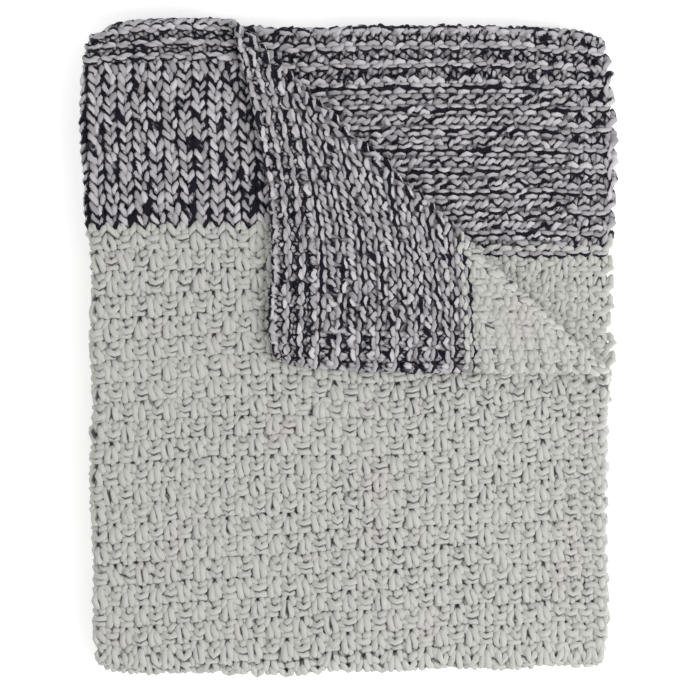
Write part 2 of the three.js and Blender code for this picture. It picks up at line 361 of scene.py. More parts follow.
# The backing: how far it ends inside the cloth's edge, how thick it is and how far from the middle it lies,
# where past the slanting fold it changes sides, its grid's cell and lines round a fold, and how softly it
# darkens
BACKING_INSET = 1.6
BACKING_THICKNESS = 1.2
BACKING_SINK = 2.6
BACKING_TURNS = (-15, -5)
BACKING_CELL = 9.0
BACKING_FOLD_LINES = 9
BACKING_EDGE = 4

# How far, in metres, the yarn and the middle of the backing's lowest face stay above the floor
YARN_CLEARANCE = 0.0003
BACKING_CLEARANCE = 0.0006

# The stage, in metres: the key light's size and place from the blanket's middle, the floor's half width, how
# much it glows, and the camera's sensor (in millimetres) and reach
KEY_SIZE = 0.9
KEY_PLACE = (1.1, -0.5, 1.3)
FLOOR_HALF = 6.0
FLOOR_GLOW = 0.26
CAMERA_SENSOR = 36.0
CAMERA_REACH = 50


# ---------------------------------------------------------------- settings


class KnitSettings(bpy.types.PropertyGroup):
    yarn: bpy.props.FloatProperty(
        name="Yarn thickness",
        description="Diameter of the yarn where nothing presses on it",
        default=0.0053, min=0.002, max=0.008, subtype="DISTANCE", unit="LENGTH",
    )
    depth: bpy.props.FloatProperty(
        name="Loop depth",
        description="How far the yarn passes in front of and behind the middle of the cloth",
        default=0.0023, min=0.001, max=0.004, subtype="DISTANCE", unit="LENGTH",
    )
    lean: bpy.props.FloatProperty(
        name="Lean",
        description="How far a loop leans sideways, as a share of its width",
        default=0.14, min=0.0, max=0.3, subtype="FACTOR",
    )
    unevenness: bpy.props.FloatProperty(
        name="Unevenness",
        description="How much the loops of a hand knitter differ in size",
        default=0.1, min=0.0, max=0.2, subtype="FACTOR",
    )
    steps: bpy.props.IntProperty(
        name="Settling steps",
        description="How many times the loops are pushed apart and drawn even again",
        default=50, min=0, max=200,
    )
    seed: bpy.props.IntProperty(name="Seed", description="Start of the random draws", default=7, min=0)


class WoolSettings(bpy.types.PropertyGroup):
    cream: bpy.props.FloatVectorProperty(
        name="Cream wool",
        description="Colour of the undyed yarn",
        default=(0.452, 0.452, 0.426), size=3, subtype="COLOR",
    )
    marl_light: bpy.props.FloatVectorProperty(
        name="Marl, pale strand",
        description="Colour of the pale strand of the flecked yarn",
        default=(0.415, 0.4, 0.42), size=3, subtype="COLOR",
    )
    # Also the colour of the flecked yarn's painted shade, and, doubled, of the painted shade inside the
    # knitting under its band
    marl_dark: bpy.props.FloatVectorProperty(
        name="Marl, dark strand",
        description="Colour of the dark strand of the flecked yarn",
        default=(0.006, 0.005, 0.011), size=3, subtype="COLOR",
    )
    dark_amount: bpy.props.FloatProperty(
        name="Marl, dark amount",
        description="How much of the dark strand shows",
        default=-0.27, min=-1.0, max=1.0,
    )
    fuzz: bpy.props.FloatProperty(
        name="Fuzz",
        description="How strongly the fibres stand out of the yarn",
        default=0.5, min=0.0, max=1.0, subtype="FACTOR",
    )


class StageSettings(bpy.types.PropertyGroup):
    view_width: bpy.props.FloatProperty(
        name="Width in view",
        description="How wide a stretch of the blanket's top the camera takes in",
        default=0.5265, min=0.2, max=2.0, subtype="DISTANCE", unit="LENGTH",
    )
    aim_shift: bpy.props.FloatVectorProperty(
        name="Aim shift",
        description="Where the camera looks, from the middle of the blanket",
        default=(-0.0037, 0.0041, 0.0), size=3, subtype="TRANSLATION", unit="LENGTH",
    )
    camera_height: bpy.props.FloatProperty(
        name="Camera height",
        description="How far the camera stands above the blanket's top",
        default=3.0, min=1.0, max=10.0, subtype="DISTANCE", unit="LENGTH",
    )
    key_power: bpy.props.FloatProperty(
        name="Key light",
        description="Power of the soft light from the right",
        default=18.0, min=0.0, subtype="POWER", unit="POWER",
    )
    fill: bpy.props.FloatProperty(
        name="Fill light",
        description="Strength of the even light from all round",
        default=0.95, min=0.0,
    )


# ---------------------------------------------------------------- the folds


def smoothstep(value, low, high):
    share = np.clip((value - low) / (high - low), 0, 1)
    return share * share * (3 - 2 * share)


def waver(edge, at):
    """The value of a wavering edge at places from 0 to 1 along it, eased between the rows of its table."""
    value = np.full_like(at, edge[0][1], dtype=float)
    for (start, before), (end, after) in zip(edge, edge[1:]):
        inside = at > start
        value[inside] = (before + (after - before) * smoothstep(at, start, end))[inside]
    return value


def past_fold(across, up):
    """How far a place lies past the slanting fold, towards the corner."""
    return (across - FOLD_AT_TOP_EDGE) * TO_CORNER[0] + (up - HALF_LENGTH) * TO_CORNER[1]


def turn_corner_down(across, up, off):
    """Fold 1: turns the corner up, over and down on to the top layer."""
    past = past_fold(across, up)
    turn = np.clip((past + FLAP_ARC) / FLAP_RADIUS, 0, math.pi)
    bent_reach = -FLAP_ARC + (FLAP_RADIUS - off) * np.sin(turn)
    bent_height = FLAP_RADIUS - (FLAP_RADIUS - off) * np.cos(turn)
    beyond = np.maximum(0, past - FLAP_ARC)
    lost = FLAP_LOFT * (1 - np.exp(-beyond / FLAP_SETTLE))
    flat_height = 2 * FLAP_RADIUS - off - lost
    reach = np.where(past <= -FLAP_ARC, past, np.where(past < FLAP_ARC, bent_reach, -past))
    height = np.where(past <= -FLAP_ARC, off, np.where(past < FLAP_ARC, bent_height, flat_height))
    drift = beyond / TIP_REACH
    bow = FLAP_BOW * np.sin(math.pi * beyond / (TIP_REACH - FLAP_ARC))
    across = across + (reach - past) * TO_CORNER[0] + FLAP_DRIFT[0] * drift + bow
    up = up + (reach - past) * TO_CORNER[1] + FLAP_DRIFT[1] * drift
    return across, up, height


def shorten(across, up):
    """The lower layers end a little inside the top one."""
    less_across, less_up = 0, 0
    for side, end, by_across, by_up in SHORTER:
        weight = smoothstep(side * across, *SHORTER_FROM) * smoothstep(end * up, *SHORTER_FROM)
        less_across = less_across + by_across * weight
        less_up = less_up + by_up * weight
    return across * (1 - less_across / HALF_WIDTH), up * (1 - less_up / HALF_LENGTH)


def fold_under(place, height, radius, arc):
    """Carries a sheet round a half circle and back underneath itself."""
    turn = np.clip((arc - place) / radius, 0, math.pi)
    bent = -(radius + height) * np.sin(turn)
    moved = np.where(place >= arc, place - arc, np.where(place <= -arc, -place - arc, bent))
    return moved, (radius + height) * np.cos(turn)


def settle(x, y, z):
    """Lets the pile's edges waver, rounds its corners and leaves its top a little uneven."""
    along = np.clip(x / FOLDED_WIDTH, 0, 1)
    up = np.clip(y / FOLDED_LENGTH, 0, 1)
    shift_x = waver(RIGHT_EDGE, up) * along**EDGE_REACH - waver(LEFT_EDGE, up) * (1 - along) ** EDGE_REACH
    shift_y = waver(TOP_EDGE, along) * up**EDGE_REACH - waver(BOTTOM_EDGE, along) * (1 - up) ** EDGE_REACH
    for right, top, drawn_in, spread in CORNERS:
        near = (along if right else 1 - along) ** spread * (up if top else 1 - up) ** spread
        shift_x = shift_x + (-1 if right else 1) * drawn_in * near
        shift_y = shift_y + (-1 if top else 1) * drawn_in * near
    lift = 0
    for height, across_length, up_length, phase in WAVES:
        lift = lift + height * np.sin(2 * math.pi * (x / across_length + y / up_length) + phase)
    return x + shift_x, y + shift_y, z * (1 + lift / PILE_HEIGHT)


def folded(across, up, off):
    """Where points of the flat cloth lie in the folded blanket, as an array of places in millimetres."""
    wide, high = FLAP_TIP_SPREAD
    near_tip = np.clip(across / HALF_WIDTH, 0, 1) ** wide * np.clip(up / HALF_LENGTH, 0, 1) ** high
    drawn_in = FLAP_TIP_ROUND * near_tip
    across, up, height = turn_corner_down(across - drawn_in, up - drawn_in, off)
    across, up = shorten(across, up)
    x, doubled = fold_under(across, height, SIDE_RADIUS, SIDE_ARC)
    y, height = fold_under(up, doubled, END_RADIUS, END_ARC)
    return np.stack(settle(x, y, height + PILE_HEIGHT / 2), -1)


@functools.lru_cache(maxsize=1)
def seat():
    """The shift that brings the folded cloth to its place in the frame."""
    halves = zip((HALF_WIDTH, HALF_LENGTH), SEAT_PLACES)
    across, up = np.meshgrid(*(np.linspace(-half, half, places) for half, places in halves))
    faces = [np.full_like(across, side * THICKNESS / 2) for side in (1, -1)]
    points = np.concatenate([folded(across, up, off).reshape(-1, 3) for off in faces])
    low, high = points.min(0), points.max(0)
    box_low, box_high = (np.array(corner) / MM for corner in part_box(NODE))
    shift = (box_low + box_high) / 2 - (low + high) / 2
    shift[2] = box_low[2] - low[2]
    return shift


def place(across, up, off):
    """Places in the frame, in metres."""
    return (folded(across, up, off) + seat()) * MM


# ---------------------------------------------------------------- the knitting


def stitch_signs():
    """+1 for a stitch whose legs lie on the right side and -1 for one whose bump does, row by row."""
    rows, columns = np.arange(ROWS + 1)[:, None], np.arange(COLUMNS)[None, :]
    ridges = np.where(rows % 2 == 1, -1, 1) + 0 * columns
    moss = np.where((columns + (rows - MOSS_START) // 2) % 2 == 0, 1, -1)
    stitch = np.append(ROW_STITCH, ROW_STITCH[-1])[:, None]
    signs = np.where(stitch == "garter", ridges, np.where(stitch == "stocking", 1, moss))
    return np.where(AT_BORDER, ridges, signs).astype(np.float32)


def moss_stitches(signs):
    """In moss stitch: whose head is a smile, whose head is a bar, and whose legs show whole."""
    moss = MOSS_ROWS[:, None]
    knit, next_knit = signs[:-1] > 0, signs[1:] > 0
    return moss & knit & ~next_knit, moss & ~knit & ~next_knit, moss & knit & next_knit


def soft_noise(rng, shape, spans):
    """Random values with a spread of 1 that change smoothly over so many rows and columns."""
    noise = rng.standard_normal(shape)
    for axis, span in enumerate(spans):
        reach = np.arange(-2 * span, 2 * span + 1)
        weights = np.exp(-((reach / span) ** 2))
        noise = np.apply_along_axis(lambda line: np.convolve(line, weights, mode="same"), axis, noise)
    return noise / noise.std()


def stray(rng, waves, spread):
    """How far each stitch strays, in soft waves and by itself."""
    shape = (ROWS, COLUMNS)
    soft = sum(height * soft_noise(rng, shape, spans) for height, spans in waves)
    return soft + spread * rng.standard_normal(shape)


def cast_loops(depth, lean, unevenness, rng):
    """The loops before they settle, as points[point, axis, row, column], heads towards the end."""
    signs = stitch_signs()
    smile, bar, whole = moss_stitches(signs)
    moss, purl = MOSS_ROWS[:, None], signs[:-1] < 0
    raised = (signs[:-1] > 0) & (signs[1:] < 0) & (ROW_BAND[:, None] > 0)
    turn = LOOP_TURN[:, None, None]
    slope = np.cos(turn)
    size = 1 + unevenness * rng.standard_normal((ROWS, COLUMNS))
    leaning = lean * (1 + LEAN_VARIES * unevenness * rng.standard_normal((ROWS, COLUMNS)))
    sway = stray(rng, SWAY_WAVES, SWAY_VARIES * unevenness)
    drift = stray(rng, DRIFT_WAVES, DRIFT_VARIES * unevenness)
    straight = (slope < 0) * (HIP * whole + BAR_SHORTEN * bar - HEAD_WIDEN * smile)
    bulge = BULGE * size * np.sin(2 * turn) * (1 - straight)
    x = (np.arange(COLUMNS) + turn / (2 * math.pi) + bulge - leaning * slope) * STITCH_WIDTH + sway
    height = ROW_HEIGHT[:, None]
    next_height = np.append(ROW_HEIGHT[1:], ROW_HEIGHT[-1])[:, None]
    span = np.where(slope > 0, height, 0.5 * (height + next_height))
    # The first row's feet and the last row's heads have nothing to hold on to, and lie at the very edge
    span[:, 0] *= np.where(slope[:, 0] > 0, FIRST_FEET, 1)
    span[:, -1] *= np.where(slope[:, 0] < 0, LAST_HEADS, 1)
    # Where a wale changes from knit to purl, the loop's head is drawn out over the next one
    head = np.clip(-slope, 0, 1)
    middle = head**4
    drawn = (HEAD_BEND * middle - HEAD_LIFT * head) * smile + GARTER_DRAW * head**2 * (raised & ~moss)
    drawn = drawn + (BAR_LIFT * head - BAR_BEND * middle) * bar
    drawn = drawn + LEG_REACH * head**END_SPREAD * whole
    side = np.sin(2 * turn) ** 2
    after_purl = np.concatenate([purl[:1], purl[:-1]]) & purl
    tucked = np.where(after_purl, FOOT_TUCK[1], FOOT_TUCK[0]) * side * (slope > 0) * (moss & purl)
    rounded = ROUNDED * side * np.sign(slope) * ~moss
    size = size * (1 + ROW_TENSION * np.where(np.arange(ROWS) % 2 == 0, 1, -1))[:, None]
    tall = np.where(FLAT_ROWS, FLAT_TALL, LOOP_TALL)[:, None]
    y = ROW_PLACE[:, None] + drift - tall * size * span * slope + drawn + tucked + rounded
    late = smoothstep(0.5 - 0.5 * slope, *CROSS_OVER)
    crossing = STEEP * np.cos(2 * turn) - LEG_SOON * (slope > 0) * whole - LEG_LONG * ~moss
    forward = 1 + np.where(moss, HEAD_RISE, GARTER_RISE) * raised * head**2
    front = -depth * np.tanh(crossing) / math.tanh(STEEP) * forward
    z = front * (signs[None, :-1] * (1 - late) + signs[None, 1:] * late)
    sunk = np.where(after_purl, FOOT_SINK[1], FOOT_SINK[0]) * np.clip(slope, 0, 1) ** 2 + BUMP_SINK
    z = z * (1 - sunk * (moss & purl)) * (1 + LEG_RISE * np.sin(turn) ** 2 * whole)
    z = z - HIDDEN_LEG * np.sin(turn) ** 2 * smile
    z[0, :, 1:] = 0.5 * (z[0, :, 1:] + z[0, :, :-1])
    return np.stack(np.broadcast_arrays(x, y, z), 1).astype(np.float32)


def crease_directions(unevenness, rng):
    """Where each point's deep crease lies, (down, across), which gets painted shade and the dark strand, how
    light it stays, and its dark strand's side.

    The length of (down, across) says how deep the crease is.
    """
    smile = moss_stitches(stitch_signs())[0]
    turn = LOOP_TURN[:, None, None]
    moss, flat = MOSS_ROWS[:, None], FLAT_ROWS[:, None]
    garter = (ROW_STITCH == "garter")[:, None] | AT_BORDER
    spread = np.where(flat, FLAT_END_SPREAD, 1)
    head = (np.clip(-np.cos(turn), 0, 1) ** END_SPREAD) ** spread
    foot = (np.clip(np.cos(turn), 0, 1) ** END_SPREAD) ** spread
    leg = np.sin(turn) ** 2
    under_head = np.where(moss, np.where(smile, HEAD_CREASE, FLAT_CREASE), BUMP_CREASE)
    over_foot = np.where(moss, FLAT_CREASE, BUMP_CREASE)
    leg_down = np.where(moss, 0, np.where(flat, FLAT_LEG_DOWN, LEG_DOWN) * LEG_CREASE)
    leg_across = np.where(moss, 1, np.where(flat, FLAT_LEG_ACROSS, LEG_ACROSS)) * LEG_CREASE
    down = under_head * head - over_foot * foot + leg_down * leg
    across = leg_across * leg * np.sign(np.sin(turn))
    deep = 1 + CREASE_VARIES * unevenness * rng.standard_normal((1, ROWS, COLUMNS))
    light = np.maximum(leg * garter, FLAT_LIGHT * leg**FLAT_LIGHT_SPREAD * flat)
    light = np.maximum(light, MOSS_LIGHT * (moss & ~garter))
    pair = np.where(np.arange(ROWS) % 2 == 0, -1, 1)[:, None] * (1 - LEG_PAIR * leg)
    directions = np.broadcast_arrays(down * deep, across * deep, light, pair)
    return as_strands(np.stack(directions, 1).astype(np.float32))


def close_points(loops, reach):
    """Which points of neighbouring stitches lie within reach: (point, other point, columns on, rows on)."""
    found = []
    for columns_on, rows_on in NEIGHBOURS:
        low = SAMPLE_COLUMN + max(0, -columns_on)
        high = SAMPLE_COLUMN + min(SAMPLE_COLUMNS, SAMPLE_COLUMNS - columns_on)
        here = loops[:, :, : ROWS - rows_on, low:high]
        there = loops[:, :, rows_on:, low + columns_on : high + columns_on]
        gap = np.sqrt(((here[:, None] - there[None]) ** 2).sum(2)).min((2, 3))
        for point, other in zip(*np.nonzero(gap < reach)):
            # Points of one strand that follow each other closely always lie within reach
            along = other + columns_on * STITCH_POINTS - point
            if rows_on or along > STITCH_POINTS // 3:
                found.append((point, other, columns_on, rows_on))
    return found


def push_apart(loops, pairs, reach):
    """Moves points apart that are closer than reach, and says how deep each one was pressed."""
    push = np.zeros_like(loops)
    touches = np.zeros_like(loops[:, 0])
    pressed = np.zeros_like(touches)
    for point, other, columns_on, rows_on in pairs:
        here = (..., slice(0, ROWS - rows_on), slice(max(0, -columns_on), COLUMNS - max(0, columns_on)))
        there = (..., slice(rows_on, ROWS), slice(max(0, columns_on), COLUMNS + min(0, columns_on)))
        away = loops[other][there] - loops[point][here]
        gap = np.sqrt((away * away).sum(0)) + SMALLEST
        over = np.maximum(reach - gap, 0)
        away *= 0.5 * over / gap
        push[point][here] -= away
        push[other][there] += away
        for which, where in ((point, here), (other, there)):
            touches[which][where] += over > 0
            pressed[which][where] = np.maximum(pressed[which][where], over)
    loops += PUSH * push / np.maximum(touches, 1)[:, None]
    return pressed


def arch_heads(loops):
    """In moss stitch, bends the heads that show: the last knit row's down and forward, the next row's up."""
    smile, bar, _ = moss_stitches(stitch_signs())
    head = np.clip(-np.cos(LOOP_TURN), 0, 1)[:, None, None]
    loops[:, 1] += SMILE_DROP * head**4 * smile - BAR_ARCH * (head**4 - 0.5 * head) * bar
    loops[:, 2] += SMILE_RISE * head**2 * smile - BAR_DROP * head**2 * bar
    return loops


def as_strands(loops):
    """The rows as strands of points in the order of the yarn: strands[row, point, axis]."""
    return loops.transpose(2, 3, 0, 1).reshape(ROWS, COLUMNS * STITCH_POINTS, loops.shape[1])


def as_loops(strands):
    return np.ascontiguousarray(strands.reshape(ROWS, COLUMNS, STITCH_POINTS, 3).transpose(2, 3, 0, 1))


def settle_loops(loops, steps, reach, rng):
    """Pushes the loops apart step by step, while the yarn keeps its length and its smooth bends."""
    gaps = np.linalg.norm(np.diff(as_strands(loops), axis=1), axis=2)
    rest = np.broadcast_to(gaps.mean(1, keepdims=True), gaps.shape)
    lengths = 1 + LENGTHS_VARY * rng.standard_normal((ROWS, COLUMNS))
    rest = (rest * np.repeat(lengths, STITCH_POINTS, axis=1)[:, 1:]).astype(np.float32)
    home = loops.mean(0)
    pairs = close_points(loops, TOUCH_REACH * reach)
    pressed = np.zeros_like(loops[:, 0])
    for step in range(steps):
        now = reach * (THIN_START + (1 - THIN_START) * min(1, step / (FULL_BY * steps)))
        pressed = push_apart(loops, pairs, now)
        strands = as_strands(loops).copy()
        strands[:, 1:-1] += EASE_BENDS * (0.5 * (strands[:, 2:] + strands[:, :-2]) - strands[:, 1:-1])
        for _ in range(EVEN_TIMES):
            span = strands[:, 1:] - strands[:, :-1]
            length = np.sqrt((span * span).sum(-1)) + SMALLEST
            span *= (EVEN_LENGTHS * (length - rest) / length)[..., None]
            strands[:, :-1] += span
            strands[:, 1:] -= span
        loops = as_loops(strands)
        loops += GO_HOME * (home - loops.mean(0))[None]
        loops[:, 2] *= STAY_HIGH
    return loops, pressed


def cast_on_edge(yarn):
    """Two strands twisted round each other along the cast-on edge: their places, radii and creases."""
    count = COLUMNS * STITCH_POINTS
    across = np.arange(count) / STITCH_POINTS * STITCH_WIDTH
    places = []
    for phase in (0, math.pi):
        turn = 2 * math.pi * across / EDGE_LAY + phase
        down, off = EDGE_DOWN + EDGE_TWIST * np.cos(turn), EDGE_TWIST * np.sin(turn)
        places.append(np.column_stack([across, down, off]))
    radius = np.full((2, count), EDGE_YARN * yarn / 2)
    return np.array(places, dtype=np.float32), radius, np.zeros((2, count, 4), dtype=np.float32)


@functools.lru_cache(maxsize=1)
def knitted(yarn, depth, lean, unevenness, steps, seed):
    """The settled strands of all rows, the yarn's radius at each point, in millimetres, and its creases."""
    rng = np.random.default_rng(seed)
    loops = cast_loops(depth, lean, unevenness, rng)
    loops, pressed = settle_loops(loops, steps, SQUEEZED * yarn, rng)
    loops = arch_heads(loops)
    thickness = yarn / 2 - PRESSED_THIN * pressed
    uneven = soft_noise(rng, (ROWS, COLUMNS * STITCH_POINTS), (1, 2 * STITCH_POINTS))
    turn = np.tile(LOOP_TURN, COLUMNS)
    signs = np.repeat(stitch_signs(), STITCH_POINTS, axis=1)
    plump_legs = LEG_PLUMP * np.sin(turn) ** 2 * (signs[:-1] + signs[1:] > 0)
    plump = np.where(MOSS_ROWS[:, None], plump_legs, PLUMP * np.cos(4 * turn))
    radius = thickness.transpose(1, 2, 0).reshape(ROWS, -1) * (1 + YARN_VARIES * uneven + plump)
    rows = (as_strands(loops), radius, crease_directions(unevenness, rng))
    return tuple(np.concatenate(pair) for pair in zip(rows, cast_on_edge(yarn)))


def fetch_knitting(context):
    knit = context.scene.blanket_knit
    return knitted(knit.yarn / MM, knit.depth / MM, knit.lean, knit.unevenness, knit.steps, knit.seed)


# ---------------------------------------------------------------- which stitches are made, and how finely


def under_the_flap(across, up):
    """Whether places of the top layer lie well inside the edges of the turned-down corner."""
    at = folded(across, up, np.zeros_like(across))
    steps = np.linspace(0, 1, COVER_POINTS)
    off = np.full_like(steps, -THICKNESS / 2)
    left = folded(FOLD_AT_TOP_EDGE + FLAP_WIDTH * steps, np.full_like(steps, HALF_LENGTH), off)
    lower = folded(np.full_like(steps, HALF_WIDTH), FOLD_AT_SIDE_EDGE + FLAP_LENGTH * steps, off)[::-1]
    left_edge = np.interp(at[..., 1], left[::-1, 1], left[::-1, 0])
    lower_edge = np.interp(at[..., 0], lower[:, 0], lower[:, 1])
    inside = (at[..., 0] > left_edge + COVER_MARGIN) & (at[..., 1] > lower_edge + COVER_MARGIN)
    return inside & (past_fold(across, up) < -COVER_MARGIN)


def corner_swing(reach, down):
    """How far the rows of the turned corner are pulled back, so that they hang straight down in it."""
    along = smoothstep(reach, *SWING_REACH) * smoothstep(down, *SWING_FROM)
    along = along * (1 - smoothstep(down, *SWING_RUN))
    return SWING * (SWING_LEVEL - reach) * along


def lie(across, down):
    """Where places of the evenly knitted cloth lie, as (across, down), once it is folded and patted flat."""
    second = smoothstep(-across, *SECOND_FROM)
    reach = np.abs(across)
    inward = HALF_WIDTH - reach
    drawn_in = inward * (1 - CLOSER * (1 - smoothstep(inward, *CLOSER_RUN)))
    drawn_in = drawn_in + TUCKED_IN * smoothstep(down, *TUCKED_FROM) * (1 - smoothstep(inward, *TUCKED_REACH))
    evened = reach - NARROWED * np.sin(2 * math.pi * reach / HALF_WIDTH)
    border, band = (entry[1] for entry in BANDS[:2])
    slack = SLACK_BORDER * np.clip(down / border, 0, 1) + SLACK_BAND * np.clip((down - border) / band, 0, 1)
    slack = slack * smoothstep(-across, *SLACK_FROM) * (1 - smoothstep(down, *SLACK_RUN))
    climb = CLIMB * (CLIMB_LEVEL - np.minimum(reach, CLIMB_END)) * (1 - second)
    climb = climb * smoothstep(down, *CLIMB_FROM) * (1 - smoothstep(down, *CLIMB_RUN))
    swing = (1 - second) * corner_swing(reach, down)
    across = np.sign(across) * (second * (HALF_WIDTH - drawn_in) + (1 - second) * evened)
    return across, down + slack + climb + swing


def sort_stitches():
    """The name of each stitch's piece, or "" inside the pile, with the edge's two strands as last rows."""
    middles = (np.arange(COLUMNS) + 0.5) * STITCH_WIDTH - HALF_WIDTH
    across, down = lie(*np.meshgrid(middles, ROW_PLACE))
    up = HALF_LENGTH - down
    right, upper = across > 0, up > 0
    past = past_fold(np.abs(across), up)
    edge = np.abs(across) > HALF_WIDTH - EDGE_COLUMNS * STITCH_WIDTH
    edge |= np.abs(up) > HALF_LENGTH - EDGE_DEPTH
    fold = (np.abs(across) < SIDE_FOLD_COLUMNS * STITCH_WIDTH) | (np.abs(up) < END_FOLD_DEPTH)
    top = right & upper & ~under_the_flap(across, up)
    lower_top = np.where(up <= LOWER_TOP, "cream_top_lower", "cream_top_middle")
    cream_top = np.where(up > MIDDLE_TOP, "cream_top_upper", lower_top)
    underside = np.where(across < HALF_WIDTH / 2, "cream_underside_left", "cream_underside_right")
    piece = np.full(across.shape, "")
    for where, marl_piece, cream_piece in (
        ((edge | fold) & ~(right & upper), "marl_inner_edges", "cream_inner_edges"),
        (~right & upper & (past > SECOND_BEYOND), "marl_second_layer", "cream_second_layer"),
        (top, "marl_band", cream_top),
        (top & (past > CORNER_BEYOND), "marl_corner", "cream_corner"),
        (right & ~upper, underside, underside),
    ):
        piece = np.where(where, np.where(MARL_ROWS[:, None], marl_piece, cream_piece), piece)
    return np.concatenate([piece, piece[:1], piece[:1]])


def smooth_line(values, stride):
    """Values along a line, taken again every stride points on a smooth curve through them."""
    last = len(values) - 1
    at = np.linspace(0, last, max(2, round(last / stride) + 1))
    start = np.minimum(at.astype(int), last - 1)
    share = (at - start)[:, None]
    before, after = np.maximum(start - 1, 0), np.minimum(start + 2, last)
    a, b, c, d = values[before], values[start], values[start + 1], values[after]
    bend = 2 * b + (c - a) * share + (2 * a - 5 * b + 4 * c - d) * share**2
    return 0.5 * (bend + (3 * b - a - 3 * c + d) * share**3)


def selvedge_turns(strands):
    """Each row with half of the turn to its neighbour at either end, where the yarn goes on."""
    rows = np.arange(ROWS)
    turns = []
    for end, mate, inward in ((0, ((rows + 1) ^ 1) - 1, TURN_IN), (-1, rows ^ 1, -TURN_IN)):
        mate = np.append(np.clip(mate, 0, ROWS - 1), EDGE_ROWS)
        last = strands[:, end]
        middle = 0.5 * (last + last[mate]) + np.array([inward, 0, 0])
        turns.append(np.stack([middle, last + TURN_SHARE * (middle - last)], 1))
    left, right = turns
    return np.concatenate([left, strands, right[:, ::-1]], 1)


def strands_of(name, fine, knitting, piece):
    """The stretches of yarn of one piece, as lists of points.

    A point is its flat place, radius, distance along the yarn, row, crease (down, across), light and pair.
    """
    strands, radius, crease = knitting
    whole = selvedge_turns(strands)
    radius = np.pad(radius, ((0, 0), (TURN_POINTS, TURN_POINTS)), mode="edge")
    crease = np.pad(crease, ((0, 0), (TURN_POINTS, TURN_POINTS), (0, 0)))
    steps = np.linalg.norm(np.diff(whole, axis=1), axis=2)
    along = np.pad(np.cumsum(steps, axis=1), ((0, 0), (1, 0)))
    stride = STITCH_POINTS / (FINE_LOOP if fine else COARSE_LOOP)
    found = []
    for row in range(len(whole)):
        mine = np.concatenate([[False], piece[row] == name, [False]])
        starts = np.nonzero(mine[1:] & ~mine[:-1])[0]
        ends = np.nonzero(~mine[1:] & mine[:-1])[0]
        for start, end in zip(starts, ends):
            low = 0 if start == 0 else start * STITCH_POINTS + TURN_POINTS
            high = whole.shape[1] if end == COLUMNS else end * STITCH_POINTS + TURN_POINTS + 1
            line = np.column_stack([whole[row, low:high], radius[row, low:high], along[row, low:high]])
            line, beside = smooth_line(line, stride), smooth_line(crease[row, low:high], stride)
            found.append(np.column_stack([line, np.full(len(line), row), beside]))
    return found


# ---------------------------------------------------------------- meshes and the yarn tree


def add_object(name, data):
    thing = bpy.data.objects.new(name, data)
    bpy.context.scene.collection.objects.link(thing)
    return thing


def add_attribute(mesh, name, values):
    """Keeps a number, or a vector, for each point of a mesh."""
    kind, field = ("FLOAT", "value") if values.ndim == 1 else ("FLOAT_VECTOR", "vector")
    attribute = mesh.attributes.new(name, kind, "POINT")
    attribute.data.foreach_set(field, values.astype(np.float32).ravel())


def direction(ahead, behind):
    way = ahead - behind
    return way / np.linalg.norm(way, axis=1, keepdims=True)


def strand_mesh(name, found):
    """One mesh of edges that follow the stretches of yarn in the folded blanket."""
    points = np.concatenate(found)
    across, down = lie(points[:, 0] + SELVEDGE - HALF_WIDTH, points[:, 1])
    up = HALF_LENGTH - down
    off = points[:, 2]
    radius = points[:, 3] * MM
    where = place(across, up, off)
    where[:, 2] = np.maximum(where[:, 2], radius + YARN_CLEARANCE)
    joined = np.delete(np.arange(len(points)), np.cumsum([len(line) for line in found]) - 1)
    mesh = bpy.data.meshes.new(name)
    mesh.vertices.add(len(points))
    mesh.vertices.foreach_set("co", where.astype(np.float32).ravel())
    mesh.edges.add(len(joined))
    mesh.edges.foreach_set("vertices", np.column_stack([joined, joined + 1]).astype(np.int32).ravel())
    to_rim = np.minimum(HALF_WIDTH - np.abs(across), HALF_LENGTH - np.abs(up))
    kept_values = {
        "thickness": radius,
        "along": points[:, 4],
        "row": points[:, 5],
        "off": off * MM,
        "outward": direction(place(across, up, off + 1), place(across, up, off - 1)),
        "onward": direction(place(across, up - 1, off), place(across, up + 1, off)),
        # The crease as the yarn tree's "facing" has it: outward, onward and sideways
        "crease": np.column_stack([np.zeros(len(points)), points[:, 6:8]]),
        "rim": 1 - smoothstep(to_rim, *RIM),
        "valley": points[:, 8],
        "pair": points[:, 9],
    }
    for label, values in kept_values.items():
        add_attribute(mesh, label, values)
    mesh.update()
    return mesh


def new_group(name, kind, inputs, outputs):
    """A new node group, from (name, socket, default) and (name, socket), and its inputs' sockets."""
    tree = bpy.data.node_groups.new(name, kind)
    for label, socket, default in inputs:
        made = tree.interface.new_socket(name=label, in_out="INPUT", socket_type="NodeSocket" + socket)
        if default is not None:
            made.default_value = default
    for label, socket in outputs:
        tree.interface.new_socket(name=label, in_out="OUTPUT", socket_type="NodeSocket" + socket)
    return tree, tree.nodes.new("NodeGroupInput").outputs


def set_inputs(tree, node, inputs):
    """Links a node's inputs where a socket is given, and sets them where a value is."""
    for socket, value in inputs.items():
        if isinstance(value, bpy.types.NodeSocket):
            tree.links.new(value, node.inputs[socket])
        else:
            node.inputs[socket].default_value = value


def add_node(tree, kind, inputs=(), **settings):
    node = tree.nodes.new(kind)
    for name, value in settings.items():
        setattr(node, name, value)
    set_inputs(tree, node, dict(inputs))
    return node


def calculate(tree, operation, *values, **settings):
    """The outcome of a sum with numbers."""
    return add_node(tree, "ShaderNodeMath", enumerate(values), operation=operation, **settings).outputs[0]


def combine(tree, operation, *vectors):
    """The outcome of a sum with vectors."""
    node = add_node(tree, "ShaderNodeVectorMath", enumerate(vectors), operation=operation)
    return node.outputs["Value" if operation == "DOT_PRODUCT" else "Vector"]


def kept_value(tree, name, kind="FLOAT"):
    """What is kept for each point under a name, in a geometry tree."""
    node = add_node(tree, "GeometryNodeInputNamedAttribute", {"Name": name}, data_type=kind)
    return node.outputs["Attribute"]


